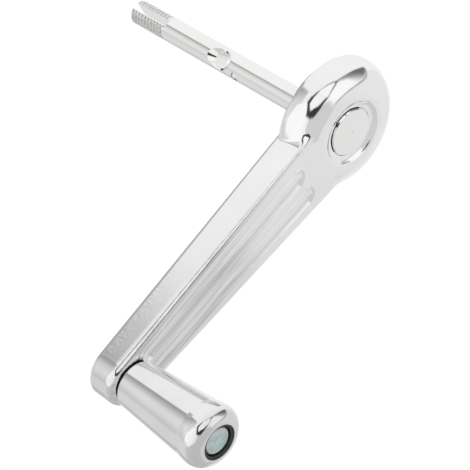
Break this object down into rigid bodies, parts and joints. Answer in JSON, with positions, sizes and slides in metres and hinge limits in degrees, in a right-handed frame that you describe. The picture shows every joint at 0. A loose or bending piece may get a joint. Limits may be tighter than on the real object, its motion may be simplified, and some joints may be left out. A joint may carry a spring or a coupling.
{
  "type": "crank handle",
  "caption": "Cast crank arm with a domed boss, a revolving grip and a headed drive shaft with a slotted, threaded end",
  "frame": {"origin": "on the drive shaft's axis, in the plane of the arm's flat back", "axes": "the drive shaft points to +Y, the arm to -X and the grip to -Y; +Z is square to both"},
  "size_m": [0.1302, 0.1316, 0.0424],
  "materials": {
    "chrome_casting": "chromed zinc casting, polished, slightly wavy",
    "plated_steel": "plated turned steel, smooth",
    "chrome_grip": "chromed grip, polished",
    "zinc_steel": "zinc plated steel, bluish and slightly dull",
    "black_nylon": "black nylon",
    "spring_steel": "bare spring steel"
  },
  "bodies": {
    "crank": {"crank_arm": "chrome_casting", "drive_shaft": "plated_steel", "grip_axle": "zinc_steel", "axle_washer": "zinc_steel", "spring_washer": "spring_steel"},
    "grip": {"grip_sleeve": "chrome_grip", "bush_inner": "black_nylon", "bush_outer": "black_nylon"}
  },
  "joints": [
    {"name": "grip_spin", "type": "hinge", "parent": "crank", "child": "grip", "pos_m": [-0.099, 0, 0], "axis": [0, 1, 0], "continuous": true}
  ]
}
